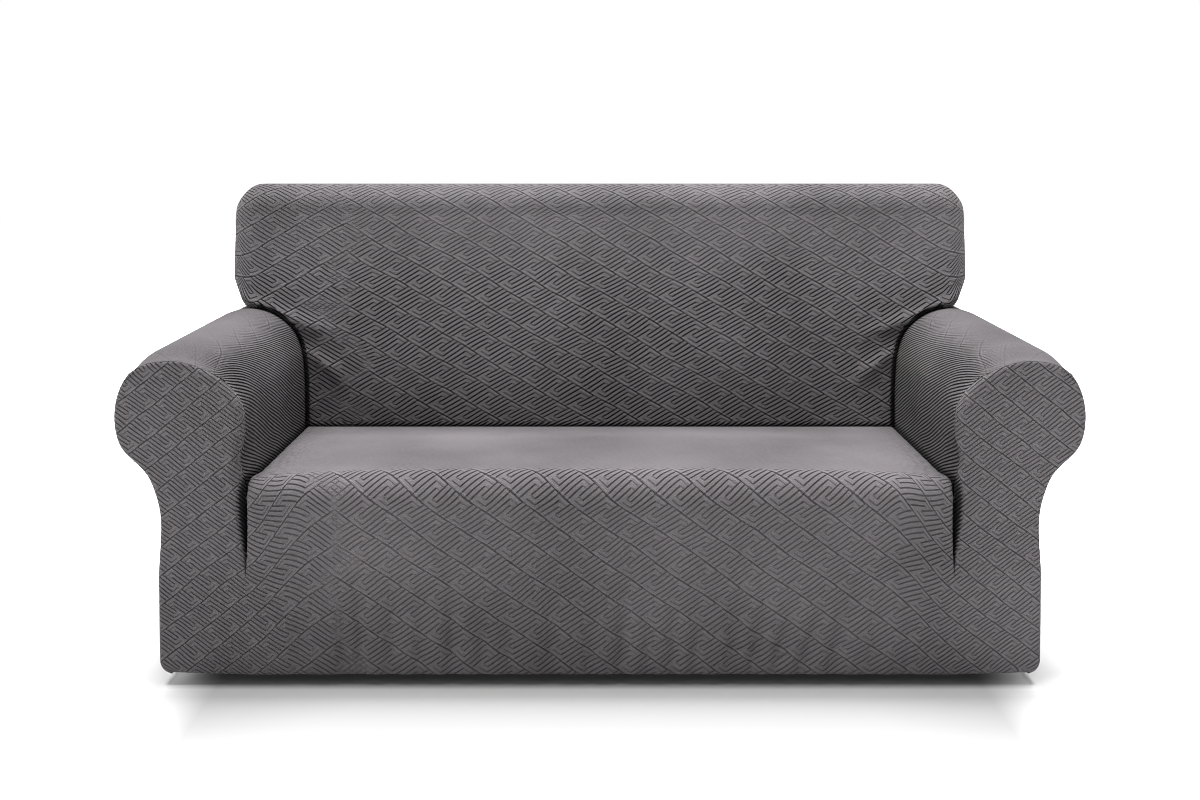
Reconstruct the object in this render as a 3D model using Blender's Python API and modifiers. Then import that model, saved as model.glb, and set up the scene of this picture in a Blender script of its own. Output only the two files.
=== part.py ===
"""A stretch slipcover for a two-seat sofa with rolled arms, as it hangs when it is fitted.

Metres. X runs along the sofa, Y from its front to its back and Z up, from the middle of the floor under it.
Each sewn piece of the cover is a sheet: grids of points that follow the padding it is pulled over,
welded where they meet and thickened inwards. Edges that are sewn together turn in side by side.
"""

import math

import bmesh
import bpy
import numpy as np

# The whole cover
DEPTH = 0.88
HEIGHT = 0.93
FRONT = -DEPTH / 2
REAR = DEPTH / 2

# The cloth and how it is sewn and tucked
CLOTH = 0.002
SEAM_GAP = 0.0005
TUCK_GAP = 0.0011
ALLOWANCE = 0.005
TUCK = 0.034
HEM_TURN = 0.008
HEM_TURN_HEIGHT = 0.018

# The seat: its front edge is a roll, and its middle stands a little higher than its sides
SEAT_Z = 0.390
SEAT_CROWN = 0.015
SEAT_REAR = 0.098
SEAT_REAR_TUCK = 0.040
ROLL_RADIUS = 0.045
MIDDLE_COLUMNS = 40
ROLL_STEPS = 4
SEAT_ROWS = 4

# The two creases of the front, between the seat piece and the arm fronts
CREASE_X = 0.6866
CREASE_FOOT = 0.204
CREASE_TOP = SEAT_Z - ROLL_RADIUS
CREASE_STEPS = 4
SEAT_LIP = 0.014
ARM_LIP = 0.020

# The rounded edges of the arm fronts and of the rear panel
FACE_ROUND = 0.008
REAR_ROUND = 0.010
FRONT_COLUMNS = 9

# A fold lifts the hem by a share of its depth, which fades out above this height
HEM_LIFT_SHARE = 0.8
HEM_LIFT_HEIGHT = 0.050

# The back, its wings over the arms, and the flanges that lie in its crevices
BACK_FOOT_Y = 0.117
BACK_RAKE = math.tan(math.radians(12.0))
BACK_BULGE = 0.012
BACK_ROUND = 0.062
WING_X = 0.847
WING_FOOT_HEIGHT = 0.075
WING_FOOT_DEPTH = 0.027
CREVICE = 0.012
FLANGE = 0.020
NOTCH = 0.002
BACK_COLUMNS = 14
BACK_ROWS = 6
BACK_ROUND_STEPS = 3
BACK_SIDE_ROWS = 2
CORNER_STEPS = 4
REAR_TOP_STEPS = 2

# How the arm fills out behind its front edge, and how far its cloth goes in beside the back
FILL_START = -0.415
FILL_END = -0.350
FILL_FRONT_SHARE = 0.7
FILL_ROWS = (-0.388, -0.366, -0.340)
FULL_Y = 0.200
ARM_TUCK = 0.036
ARM_NOTCH_Y = 0.210
ARM_ROWS = 6
ARM_REAR_ROWS = 3

CLOTH_COLOUR = (0.117, 0.111, 0.115, 1.0)
CLOTH_ROUGHNESS = 0.9

# The right arm's section, from the cloth tucked beside the seat, over the roll and down to the hem.
# name, x and z of its front edge, x and z of the full arm, facets to the next row
ARM_SECTION = (
    ("tucked edge", CREASE_X, CREASE_TOP, 0.6730, CREASE_TOP, 1),
    ("seat line", 0.6870, 0.3880, 0.6725, 0.3900, 1),
    ("waist", 0.6915, 0.4280, 0.6725, 0.4400, 2),
    ("inner side", 0.6805, 0.4820, 0.6745, 0.5000, 2),
    ("inner shoulder", 0.6830, 0.5350, 0.6805, 0.5560, 2),
    ("inner top", 0.7150, 0.5830, 0.7050, 0.6085, 2),
    ("upper slope", 0.7560, 0.6095, 0.7500, 0.6405, 2),
    ("crown", 0.8000, 0.6230, 0.7980, 0.6512, 1),
    ("wing foot", 0.8220, 0.6235, 0.8220, 0.6490, 2),
    ("outer top", 0.8650, 0.6160, 0.8650, 0.6330, 2),
    ("outer shoulder", 0.8995, 0.5900, 0.9005, 0.6010, 3),
    ("widest", 0.9250, 0.5260, 0.9250, 0.5300, 2),
    ("underside", 0.9190, 0.4610, 0.9190, 0.4610, 3),
    ("neck", 0.8660, 0.3945, 0.8670, 0.3945, 2),
    ("wall top", 0.8525, 0.3530, 0.8530, 0.3530, 2),
    ("crease height", 0.8575, CREASE_FOOT, 0.8575, CREASE_FOOT, 3),
    ("hem top", 0.8630, 0.0500, 0.8630, 0.0500, 1),
    ("hem fold", 0.8634, 0.0180, 0.8634, 0.0180, 1),
    ("hem turn", 0.8620, 0.0060, 0.8620, 0.0060, 1),
    ("hem edge", 0.8570, 0.0000, 0.8570, 0.0000, 0),
)

# The soft upright folds of the front: x at the hem, how far each leans right going up, height, depth, half width
FRONT_FOLDS = (
    (-0.590, 0.02, 0.150, 0.0016, 0.022),
    (-0.500, 0.00, 0.200, 0.0030, 0.018),
    (-0.470, 0.01, 0.260, 0.0034, 0.013),
    (-0.408, 0.00, 0.240, 0.0030, 0.016),
    (-0.352, 0.02, 0.200, 0.0030, 0.016),
    (-0.290, 0.00, 0.270, 0.0036, 0.015),
    (-0.232, 0.03, 0.180, 0.0034, 0.015),
    (-0.178, 0.00, 0.230, 0.0028, 0.015),
    (-0.096, 0.05, 0.220, 0.0034, 0.022),
    (-0.022, 0.00, 0.160, 0.0026, 0.014),
    (0.042, 0.06, 0.280, 0.0040, 0.017),
    (0.092, 0.04, 0.170, 0.0026, 0.014),
    (0.142, 0.03, 0.230, 0.0032, 0.016),
    (0.186, 0.05, 0.200, 0.0034, 0.013),
    (0.256, 0.10, 0.250, 0.0032, 0.018),
    (0.296, 0.18, 0.220, 0.0036, 0.014),
    (0.342, 0.24, 0.210, 0.0034, 0.016),
    (0.394, 0.28, 0.230, 0.0030, 0.016),
    (0.455, 0.20, 0.240, 0.0034, 0.020),
    (0.532, 0.10, 0.180, 0.0024, 0.020),
    (0.600, 0.04, 0.150, 0.0018, 0.022),
)

# The pull folds where the back is drawn in over each arm: start x, z, end x, z, height, half width
PULL_FOLDS = (
    (0.785, 0.668, 0.625, 0.545, 0.0065, 0.016),
    (0.705, 0.632, 0.640, 0.578, 0.0040, 0.010),
    (0.742, 0.632, 0.652, 0.548, -0.0060, 0.011),
    (0.700, 0.560, 0.560, 0.452, 0.0030, 0.022),
)


def smoothstep(value):
    value = np.clip(value, 0.0, 1.0)
    return value * value * (3.0 - 2.0 * value)


def smooth_curve(knots, points, places):
    """A cubic curve through the points, which lie at the knots, read at some places along it."""
    slopes = np.gradient(points, knots, axis=0)
    first = np.clip(np.searchsorted(knots, places, side="right") - 1, 0, len(knots) - 2)
    span = (knots[first + 1] - knots[first])[..., None]
    t = (places - knots[first])[..., None] / span
    start = (1 + 2 * t) * (1 - t) ** 2 * points[first] + t * (1 - t) ** 2 * span * slopes[first]
    end = t * t * (3 - 2 * t) * points[first + 1] - t * t * (1 - t) * span * slopes[first + 1]
    return start + end


SECTION_NAMES = [row[0] for row in ARM_SECTION]
SECTION_FRONT = np.array([row[1:3] for row in ARM_SECTION])
SECTION_FULL = np.array([row[3:5] for row in ARM_SECTION])
SECTION_STEPS = [row[5] for row in ARM_SECTION]
SECTION_KNOTS = np.concatenate([[0.0], np.cumsum(np.linalg.norm(np.diff(SECTION_FULL, axis=0), axis=1))])


def knot(name):
    """How far along the arm's section this row lies."""
    return SECTION_KNOTS[SECTION_NAMES.index(name)]


def steps_before(name):
    """How many facets the arm's section has before this row."""
    return sum(SECTION_STEPS[: SECTION_NAMES.index(name)])


def section_steps(first, last):
    """The places along the arm's section from one row to another."""
    rows = range(SECTION_NAMES.index(first), SECTION_NAMES.index(last))
    spans = [np.linspace(*SECTION_KNOTS[i : i + 2], SECTION_STEPS[i], endpoint=False) for i in rows]
    return np.concatenate([*spans, [knot(last)]])


def arm_fill(y):
    """0 at the arm's front edge, 1 where the arm is full."""
    swell = FILL_FRONT_SHARE * smoothstep((y - FILL_START) / (FILL_END - FILL_START))
    return swell + (1 - FILL_FRONT_SHARE) * np.clip((y - FILL_START) / (FULL_Y - FILL_START), 0.0, 1.0)


def arm_section(along, fill):
    """Points of the arm's section, with the way out from it at each."""
    step = 1e-4

    def at(places):
        front = smooth_curve(SECTION_KNOTS, SECTION_FRONT, places)
        full = smooth_curve(SECTION_KNOTS, SECTION_FULL, places)
        return front + (full - front) * fill[..., None]

    tangent = at(np.clip(along + step, 0, SECTION_KNOTS[-1])) - at(np.clip(along - step, 0, SECTION_KNOTS[-1]))
    tangent /= np.linalg.norm(tangent, axis=-1, keepdims=True)
    return at(along), np.stack([-tangent[..., 1], tangent[..., 0]], axis=-1)


def arm_surface(along, y, lift=0.0, upright=False):
    """Points of the right arm, lifted off it. An upright lift never leans outwards."""
    along, y, lift = np.broadcast_arrays(along, y, lift)
    point, way = arm_section(along, arm_fill(y))
    if upright:
        way = np.stack([np.minimum(way[..., 0], 0.0), way[..., 1]], axis=-1)
        way /= np.linalg.norm(way, axis=-1, keepdims=True)
    place = point + way * lift[..., None]
    return np.stack([place[..., 0], y, place[..., 1]], axis=-1)


def hem_turn(z):
    """How far the cloth is drawn in near the hem."""
    return HEM_TURN * np.clip(1 - z / HEM_TURN_HEIGHT, 0.0, 1.0) ** 2


def around_rim(point, way, end, radius, angle, run=0.0, turned=0.0, side=0.0):
    """Points round the edge between an end panel and the cloth beside it.

    end is -1 at the front and 1 at the rear. angle is 0 on the panel and a right angle beside it,
    run goes on straight past it, turned goes in along the seam and side is -1 or 1 for its two cloths.
    """
    sine = np.sin(angle)
    cosine = np.cos(angle)
    out = -radius * (1 - sine) - turned * sine + side * cosine * SEAM_GAP / 2
    deep = radius * (1 - cosine) + run + turned * cosine + side * sine * SEAM_GAP / 2
    place = point + way * np.broadcast_to(out, point.shape[:-1])[..., None]
    y = end * (DEPTH / 2 - hem_turn(point[..., 1]) - deep)
    return np.stack([place[..., 0], y, place[..., 1]], axis=-1)


def front_edge(along):
    """The arm's front edge: radius, angle and run up to its seam. The inner side is softer and its seam deeper."""
    inner = 1 - smoothstep((along - knot("inner shoulder")) / (knot("crown") - knot("inner shoulder")))
    radius = FACE_ROUND + (ARM_LIP - FACE_ROUND) * inner
    angle = math.pi / 4 * (1 + inner)
    low = 1 - smoothstep(along / knot("waist"))
    run = (0.002 + (TUCK - ARM_LIP - 0.002) * low) * inner
    return radius, angle, run


def front_rim(along, share, run=0.0, turned=0.0, side=0.0):
    """Points round the arm's front edge. share is 0 on the front and 1 at the seam, and 2 past it."""
    point, way = arm_section(along, np.zeros_like(along))
    radius, seam_angle, seam_run = front_edge(along)
    before = min(share, 1.0)
    past = max(share - 1.0, 0.0)
    angle = seam_angle * before + (math.pi / 2 - seam_angle) * past
    straight = seam_run * max(2 * before - 1, 0.0) + run
    return around_rim(point, way, -1, radius, angle, straight, turned, side)


def back_face_y(x, z):
    """The front of the back: raked, a little full in the middle, with its pull folds."""
    middle = 1 - np.clip(np.abs(x) / 0.75, 0, 1) ** 4
    full = BACK_BULGE * middle * np.sin(math.pi * np.clip((z - 0.345) / 0.56, 0, 1))
    y = BACK_FOOT_Y + BACK_RAKE * (z - SEAT_Z) - full
    for x0, z0, x1, z1, height, half in PULL_FOLDS:
        length = math.hypot(x1 - x0, z1 - z0)
        dx = (x1 - x0) / length
        dz = (z1 - z0) / length
        run = ((np.abs(x) - x0) * dx + (z - z0) * dz) / length
        off = (np.abs(x) - x0) * dz - (z - z0) * dx
        y = y - height * np.exp(-((off / half) ** 2)) * smoothstep(4 * run + 0.6) * smoothstep(3 * (1 - run))
    return y


def front_fold(x, z):
    """How far the front's cloth lies in from its plane."""
    deep = np.zeros(np.broadcast(x, z).shape)
    for foot, lean, height, depth, half in FRONT_FOLDS:
        across = (x - foot - lean * z) / half
        deep = deep + depth * np.exp(-(across**2)) * (1 - smoothstep(z / height))
    return deep


def blended_patch(bottom, top, left, right):
    """A four-sided grid between its four edges. Rows run from bottom to top, columns from left to right."""
    v = np.linspace(0, 1, len(left))[:, None, None]
    u = np.linspace(0, 1, len(bottom))[None, :, None]
    ruled = (1 - v) * bottom[None] + v * top[None] + (1 - u) * left[:, None] + u * right[:, None]
    corners = (1 - u) * (1 - v) * bottom[0] + u * (1 - v) * bottom[-1] + (1 - u) * v * top[0] + u * v * top[-1]
    return ruled - corners


def both_sides(grid, flipped=False):
    """This grid and its mirror image."""
    return [(grid, flipped), (grid * np.array([-1.0, 1.0, 1.0]), not flipped)]


def cloth_object(name, patches, collection, material):
    """One sheet of cloth from grids of points that share their edges."""
    shape = bmesh.new()
    for grid, flipped in patches:
        corners = [[shape.verts.new(point) for point in row] for row in grid]
        for low, high in zip(corners, corners[1:]):
            for a, b, c, d in zip(low, low[1:], high[1:], high):
                shape.faces.new((a, d, c, b) if flipped else (a, b, c, d))
    bmesh.ops.remove_doubles(shape, verts=shape.verts, dist=1e-5)
    mesh = bpy.data.meshes.new(name)
    shape.to_mesh(mesh)
    shape.free()
    mesh.shade_smooth()
    mesh.materials.append(material)
    sheet = bpy.data.objects.new(name, mesh)
    collection.objects.link(sheet)
    thickness = sheet.modifiers.new("Cloth", "SOLIDIFY")
    thickness.thickness = CLOTH
    thickness.offset = -1.0
    thickness.use_quality_normals = True
    return sheet


def crease_share(z):
    """How open the crease is, from its foot up."""
    return np.sin(math.pi / 2 * np.clip((z - CREASE_FOOT) / (CREASE_TOP - CREASE_FOOT), 0.0, 1.0))


def low_heights():
    """The heights of the front's rows below the creases, from the hem up."""
    along = section_steps("crease height", "hem edge")
    return arm_section(along, np.zeros_like(along))[0][::-1, 1]


def arm_front():
    """The front of the right arm and of the corner below it, with its side of the crease and its seam."""
    along = section_steps("tucked edge", "hem edge")
    edge = front_rim(along, 0.0)
    rim = np.stack([edge, front_rim(along, 0.5), front_rim(along, 1.0, side=-1)])
    seam = np.stack([rim[2], front_rim(along, 1.0, turned=ALLOWANCE, side=-1)])[:, 1:]

    z = np.linspace(CREASE_FOOT, CREASE_TOP, CREASE_STEPS + 1)
    open_share = crease_share(z)
    insets = ARM_LIP * np.array([1.0, 1 - math.sqrt(0.5), 0.0])
    depths = np.array([0.0, ARM_LIP * (1 - math.sqrt(0.5)), TUCK])
    crease = np.stack(
        [
            CREASE_X + insets[:, None] * open_share,
            FRONT + depths[:, None] * open_share,
            np.broadcast_to(z, (3, len(z))),
        ],
        axis=-1,
    )
    rim[2, 0] = crease[2, -1]
    crease[:2, -1] = rim[:2, 0]

    top_start = steps_before("inner top")
    top_end = steps_before("outer shoulder")
    foot = steps_before("crease height")
    left = np.concatenate([crease[0, :-1], edge[: top_start + 1]])
    right = edge[top_end : foot + 1][::-1]
    bottom = np.linspace(left[0], right[0], FRONT_COLUMNS + 1)
    panel = blended_patch(bottom, edge[top_start : top_end + 1], left, right)

    heights = low_heights()
    inside = np.stack([np.full_like(heights, CREASE_X), FRONT + hem_turn(heights), heights], axis=-1)
    low = np.linspace(inside, edge[foot:][::-1], FRONT_COLUMNS + 1, axis=1)
    return [low, panel, rim, crease, seam]


def seat_edge_x(y):
    """Half the width of the seat piece between the arms."""
    inside = [arm_section(np.full_like(y, knot(name)), arm_fill(y))[0][..., 0] for name in ("tucked edge", "seat line")]
    return np.minimum(*inside) - TUCK_GAP


def middle_rows():
    """The rows of the seat piece from the hem up and back: y, z, way out and how far the middle is raised."""
    crease_z = np.linspace(CREASE_FOOT, CREASE_TOP, CREASE_STEPS + 1)[1:]
    rows = [(FRONT + hem_turn(z), z, -1.0, 0.0, 0.0) for z in (*low_heights(), *crease_z)]
    for turn in np.linspace(0, math.pi / 2, ROLL_STEPS + 1)[1:]:
        y = FRONT + ROLL_RADIUS * (1 - math.cos(turn))
        z = CREASE_TOP + ROLL_RADIUS * math.sin(turn)
        rows.append((y, z, -math.cos(turn), math.sin(turn), math.sin(turn) ** 2))
    for y in (*FILL_ROWS[1:], *np.linspace(FILL_ROWS[-1], SEAT_REAR, SEAT_ROWS + 1)[1:]):
        rows.append((y, SEAT_Z, 0.0, 1.0, 1 - smoothstep((y + 0.12) / 0.22)))
    return np.array(rows)


def seat_piece():
    """The front and seat between the arms, turned down beside them and pushed down behind the seat."""
    y, z, way_y, way_z, raised = (column[:, None] for column in middle_rows().T)
    upright = way_z == 0.0
    share = np.where(upright, crease_share(z), 1.0)
    edge = np.where(upright, CREASE_X, seat_edge_x(y))
    lip = SEAT_LIP * share
    flat = edge - lip

    x = flat * np.linspace(-1, 1, MIDDLE_COLUMNS + 1)
    folded = front_fold(x, z) * smoothstep((0.67 - np.abs(x)) / 0.05) * upright
    crown = SEAT_CROWN * raised * (1 - (x / edge) ** 4)
    lifted = HEM_LIFT_SHARE * folded * np.clip(1 - z / HEM_LIFT_HEIGHT, 0.0, 1.0)
    top = np.stack([x, y + folded, z + crown + lifted], axis=-1)

    inset = lip * np.array([1.0, 0.29, 0.06, 0.0])
    depth = np.concatenate([0 * lip, 0.29 * lip, lip, TUCK * share], axis=1)
    at_lip = crown[:, -1:] * np.array([1.0, 0.3, 0.0, 0.0])
    flap = np.stack([edge - inset, y - way_y * depth, z - way_z * depth + at_lip], axis=-1)
    first = len(low_heights()) - 1
    return [(top, False), (behind_seat(top[-1]), False), *both_sides(flap[first:])]


def behind_seat(last):
    """The rear edge of the seat piece, pushed down in front of the back."""
    rows = [last]
    for clear, drop in ((0.007, 0.0012), (0.0022, 0.0055), (TUCK_GAP, 0.012), (TUCK_GAP, SEAT_REAR_TUCK)):
        z = np.full(len(last), SEAT_Z - drop)
        rows.append(np.stack([last[:, 0], back_face_y(last[:, 0], z) - clear, z], axis=-1))
    return np.stack(rows)


def front_and_seat():
    """The piece that hangs in front, covers the arm fronts and runs back over the seat."""
    patches = seat_piece()
    for grid in arm_front():
        patches += both_sides(grid)
    return patches


def arm():
    """The right arm's piece. Its inner side ends beside the back, its outer side at the rear seam."""
    along = section_steps("tucked edge", "hem edge")
    crown = steps_before("crown")
    foot = steps_before("wing foot")
    full, way = arm_section(along, np.ones_like(along))
    beside_back = back_face_y(full[:, 0], full[:, 1]) + ARM_TUCK
    end = np.where(along < along[crown], beside_back, ARM_NOTCH_Y)
    rows = [
        front_rim(along, 1.0, turned=ALLOWANCE, side=1),
        front_rim(along, 1.0, side=1),
        front_rim(along, 1.5, run=0.003),
        front_rim(along, 2.0, run=0.006),
    ]
    rows += [arm_surface(along, y) for y in FILL_ROWS]
    rows += [arm_surface(along, FILL_ROWS[-1] + (end - FILL_ROWS[-1]) * t) for t in np.linspace(0, 1, ARM_ROWS + 1)[1:]]

    rear = to_rear(rows[-1], full, way, ARM_REAR_ROWS)
    whole = np.stack(rows)
    return [whole[:4, 1:], whole[3:], rear[:ARM_REAR_ROWS, crown : foot + 1], rear[:, foot:]]


def to_rear(first, point, way, count):
    """Rows from the first one straight back to the rear edge, round it and in along its seam."""
    rim = rear_rim(point, way, (2.0, 1.5, 1.0), 1)
    straight = [first + (rim[0] - first) * t for t in np.linspace(0, 1, count, endpoint=False)]
    return np.stack(straight + rim)


def rear_rim(point, way, shares, side):
    """Rows round the rear edge, and one turned in along its seam. share is 0 on the rear panel and 1 at the seam."""
    rows = [around_rim(point, way, 1, REAR_ROUND, share * math.pi / 4, side=side * (share == 1)) for share in shares]
    return [*rows, around_rim(point, way, 1, REAR_ROUND, math.pi / 4, turned=ALLOWANCE, side=side)]


def wing_foot(angle):
    """How far along the arm's section the back's side stands. angle is 0 on the back's front and 90° on its side."""
    along = np.linspace(knot("upper slope"), knot("outer top"), 200)
    x = arm_section(along, np.ones_like(along))[0][:, 0]
    return np.interp(WING_X - BACK_ROUND * (1 - math.sin(angle)), x, along)


def crevice(along, y, angle=0.0):
    """Points where the back meets the arm: above the arm, round the bend, and in along the arm by the flange."""
    turn = math.sin(angle) ** 2
    height = CREVICE + (WING_FOOT_HEIGHT - CREVICE) * turn
    depth = CREVICE + (WING_FOOT_DEPTH - CREVICE) * turn
    bend = 1 - math.sqrt(0.5)
    lifts = (height, bend * height, 0.0, 0.0)
    depths = (0.0, bend * depth, depth, depth + FLANGE)
    rows = [
        arm_surface(along - into * math.sin(angle), y + into * math.cos(angle), lift + TUCK_GAP, upright=True)
        for lift, into in zip(lifts, depths)
    ]
    return np.stack(rows)


def on_back(points):
    """These points with their y on the back's front."""
    x, z = points[..., 0], points[..., 2]
    return np.stack([x, back_face_y(x, z), z], axis=-1)


def back_outline(angle, foot, top_x):
    """The back's outline beside and over the arm's foot, up to the middle of its top, with the way out of it.

    angle is 0 on the back's front and 90 degrees on its sides. top_x holds the columns along its top.
    """
    top = HEIGHT - BACK_ROUND
    z = np.linspace(foot[2], top, BACK_ROWS, endpoint=False)
    turn = np.linspace(0, math.pi / 2, CORNER_STEPS + 1)
    bend = np.stack([np.cos(turn), np.sin(turn)], axis=-1)
    corner = np.array([WING_X - BACK_ROUND, top]) + BACK_ROUND * bend
    across = np.stack([top_x, np.full_like(top_x, HEIGHT)], axis=-1)
    outline = np.concatenate([np.stack([np.full_like(z, WING_X), z], axis=-1), corner, across])
    way = np.concatenate([np.tile([1.0, 0.0], (BACK_ROWS, 1)), bend, np.tile([0.0, 1.0], (len(top_x), 1))])
    outline = outline - way * BACK_ROUND * (1 - math.sin(angle))
    outline[0] = foot[::2]
    return outline, way


def back_side(meet, top_x):
    """The right half of the back's rounded edge, side and top, from its front to its rear seam.

    meet is where its front, its side and the arm meet. It returns the grid, and its outline with the way out of it.
    The first two columns are the flange that lies on the arm.
    """
    rows = []
    for angle in np.linspace(0, math.pi / 2, BACK_ROUND_STEPS + 1):
        depth = BACK_ROUND * (1 - math.cos(angle))
        low = crevice(wing_foot(angle), meet[1] + depth, angle)
        if not rows:
            low[0] = meet
        outline, way = back_outline(angle, low[0], top_x)
        if not rows:
            face_y = back_face_y(outline[:, 0], outline[:, 1])
        upper = np.stack([outline[:, 0], face_y + depth, outline[:, 1]], axis=-1)
        rows.append(np.concatenate([low[:0:-1], upper]))
    edge = rows[-1]
    low_way = [(0.0, -1.0), (0.0, -1.0), (math.sqrt(0.5), -math.sqrt(0.5))]
    way = np.concatenate([low_way, way])
    rear = to_rear(edge, edge[:, ::2], way, BACK_SIDE_ROWS)
    return np.concatenate([rows[:-1], rear]), edge[:, ::2], way


def back_columns():
    """Where the back's front meets the arm, place by place along the arm's section, and the columns of its top."""
    beside = section_steps("tucked edge", "inner shoulder")
    over = section_steps("inner shoulder", "upper slope")
    over = np.concatenate([over, np.linspace(over[-1], wing_foot(0.0), 3)[1:]])
    along = np.concatenate([beside, over[1:]])
    meet = on_back(crevice(along, np.full_like(along, 0.15))[0])
    shoulder_x = meet[len(beside) - 1, 0]
    outer_x = np.linspace(WING_X - BACK_ROUND, shoulder_x, len(over))[1:]
    middle_x = np.linspace(shoulder_x, 0.0, BACK_COLUMNS // 2 + 1)[1:]
    return along, meet, len(beside) - 1, np.concatenate([outer_x, middle_x])


def inner_back():
    """The piece over the front, sides and top of the back, tucked down behind the seat and in beside the arms."""
    along, meet, shoulder, top_x = back_columns()
    tucked = crevice(along, meet[:, 1])
    tucked[0] = meet
    side, outline, way = back_side(meet[-1], top_x)

    upper_z = np.linspace(meet[shoulder, 2], HEIGHT - BACK_ROUND, BACK_ROWS + 1)
    half = np.concatenate([meet[:shoulder, 0], np.full_like(upper_z, meet[shoulder, 0])])
    z = np.concatenate([meet[:shoulder, 2], upper_z])[:, None]
    x = half[:, None] * np.linspace(-1, 1, BACK_COLUMNS + 1)
    middle = on_back(np.stack([x, 0 * x, z + 0 * x], axis=-1))

    bottom = meet[shoulder:]
    left = middle[shoulder:, -1]
    right = side[0, 3 : 4 + BACK_ROWS]
    wing = on_back(blended_patch(bottom, np.linspace(left[-1], right[-1], len(bottom)), left, right))
    flange = side[: BACK_ROUND_STEPS + BACK_SIDE_ROWS, :2]
    halves = [(wing, False), (tucked, True), (flange, True), (side[:, 1:], True)]
    return [(middle, False), *[both for half in halves for both in both_sides(*half)]]


def outer_back():
    """The plain rear panel, sewn along the arms, the back's sides and its top."""
    along, meet, shoulder, top_x = back_columns()
    side, outline, way = back_side(meet[-1], top_x)
    beside_arm = np.append(section_steps("wing foot", "hem edge")[::-1], knot("wing foot") - NOTCH)
    arm_edge, arm_way = arm_section(beside_arm, np.ones_like(beside_arm))
    notch = outline[1:2] - np.array([NOTCH, 0.0])
    last = 3 + BACK_ROWS + CORNER_STEPS
    rear_x = np.linspace(outline[last, 0], 0.0, REAR_TOP_STEPS + 1)[1:]
    top = np.stack([rear_x, np.full_like(rear_x, HEIGHT)], axis=-1)
    edge = np.concatenate([arm_edge, notch, outline[1 : last + 1], top])
    ways = np.concatenate([arm_way, way[1:2], way[1 : last + 1], np.tile([0.0, 1.0], (len(top), 1))])
    rim = np.stack(rear_rim(edge, ways, (0.0, 0.5, 1.0), -1))

    corner = len(edge) - 1 - REAR_TOP_STEPS - CORNER_STEPS // 2
    mirror = np.array([-1.0, 1.0, 1.0])
    right = rim[0, : corner + 1]
    half = rim[0, corner:]
    top_edge = np.concatenate([half * mirror, half[-2::-1]])
    bottom = np.linspace(right[0] * mirror, right[0], len(top_edge))
    panel = blended_patch(bottom, top_edge, right * mirror, right)
    return [(panel, True), *both_sides(rim)]


def cloth_material(name):
    material = bpy.data.materials.new(name)
    material.use_nodes = True
    shader = material.node_tree.nodes["Principled BSDF"]
    shader.inputs["Base Color"].default_value = CLOTH_COLOUR
    shader.inputs["Roughness"].default_value = CLOTH_ROUGHNESS
    shader.inputs["Metallic"].default_value = 0.0
    return material


def mirrored(patches):
    return [both_sides(*patch)[1] for patch in patches]


def main():
    for old in list(bpy.data.objects):
        bpy.data.objects.remove(old)
    collection = bpy.data.collections.new("Sofa slipcover")
    bpy.context.scene.collection.children.link(collection)
    right_arm = [(grid, False) for grid in arm()]
    pieces = {
        "front_and_seat": front_and_seat(),
        "arm_left": mirrored(right_arm),
        "arm_right": right_arm,
        "inner_back": inner_back(),
        "outer_back": outer_back(),
    }
    for name, patches in pieces.items():
        cloth_object(name, patches, collection, cloth_material(name))


main()
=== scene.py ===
import math

import bmesh
import bpy
import numpy as np
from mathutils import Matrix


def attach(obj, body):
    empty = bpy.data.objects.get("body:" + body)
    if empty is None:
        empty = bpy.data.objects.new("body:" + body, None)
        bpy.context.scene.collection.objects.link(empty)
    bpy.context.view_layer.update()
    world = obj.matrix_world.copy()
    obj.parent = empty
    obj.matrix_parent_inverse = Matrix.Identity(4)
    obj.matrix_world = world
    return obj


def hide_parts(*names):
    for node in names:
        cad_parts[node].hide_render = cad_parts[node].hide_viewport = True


# Metres, in the frame of the CAD model. The cloth's grid is several times as fine as the CAD model's.
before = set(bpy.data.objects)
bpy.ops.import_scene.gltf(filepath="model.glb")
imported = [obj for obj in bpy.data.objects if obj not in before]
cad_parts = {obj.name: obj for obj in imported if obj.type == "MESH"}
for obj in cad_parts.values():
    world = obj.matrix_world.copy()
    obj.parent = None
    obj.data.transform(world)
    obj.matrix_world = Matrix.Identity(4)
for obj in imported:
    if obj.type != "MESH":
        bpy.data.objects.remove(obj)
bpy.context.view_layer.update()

FINE = 5
CLOTH = 0.0018
MIRROR = np.array([-1.0, 1.0, 1.0])

# ---- The cover's shape, as in the CAD model but for deeper folds, a straighter hem and wider creases ----
DEPTH = 0.88
HEIGHT = 0.93
FRONT = -DEPTH / 2
SEAM_GAP = 0.0005
TUCK_GAP = 0.0011
SEAM_EDGE = 0.0007
ALLOWANCE = 0.005
OUTER_SEAM_GAPE = 6.5
INNER_SEAM_GAPE = 7.5
TUCK = 0.034
HEM_TURN = 0.003
HEM_TURN_HEIGHT = 0.018
SEAT_Z = 0.390
SEAT_CROWN = 0.015
SEAT_REAR = 0.098
SEAT_REAR_TUCK = 0.040
ROLL_RADIUS = 0.045
CREASE_X = 0.6866
CREASE_FOOT = 0.194
CREASE_TOP = SEAT_Z - ROLL_RADIUS
SEAT_LIP = 0.014
FOLD_SHARE = 3.2
FOLD_WIDTH_SHARE = 0.85
HEM_FOLD_SHARE = 0.3
SEAT_GAPE = 0.0115
ARM_LIP = 0.020
FACE_ROUND = 0.008
REAR_ROUND = 0.010
HEM_LIFT_SHARE = 0.1
HEM_LIFT_HEIGHT = 0.050
BACK_FOOT_Y = 0.117
BACK_RAKE = math.tan(math.radians(12.0))
BACK_BULGE = 0.012
BULGE_HALF_WIDTH = 0.75
BULGE_FOOT = 0.345
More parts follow.
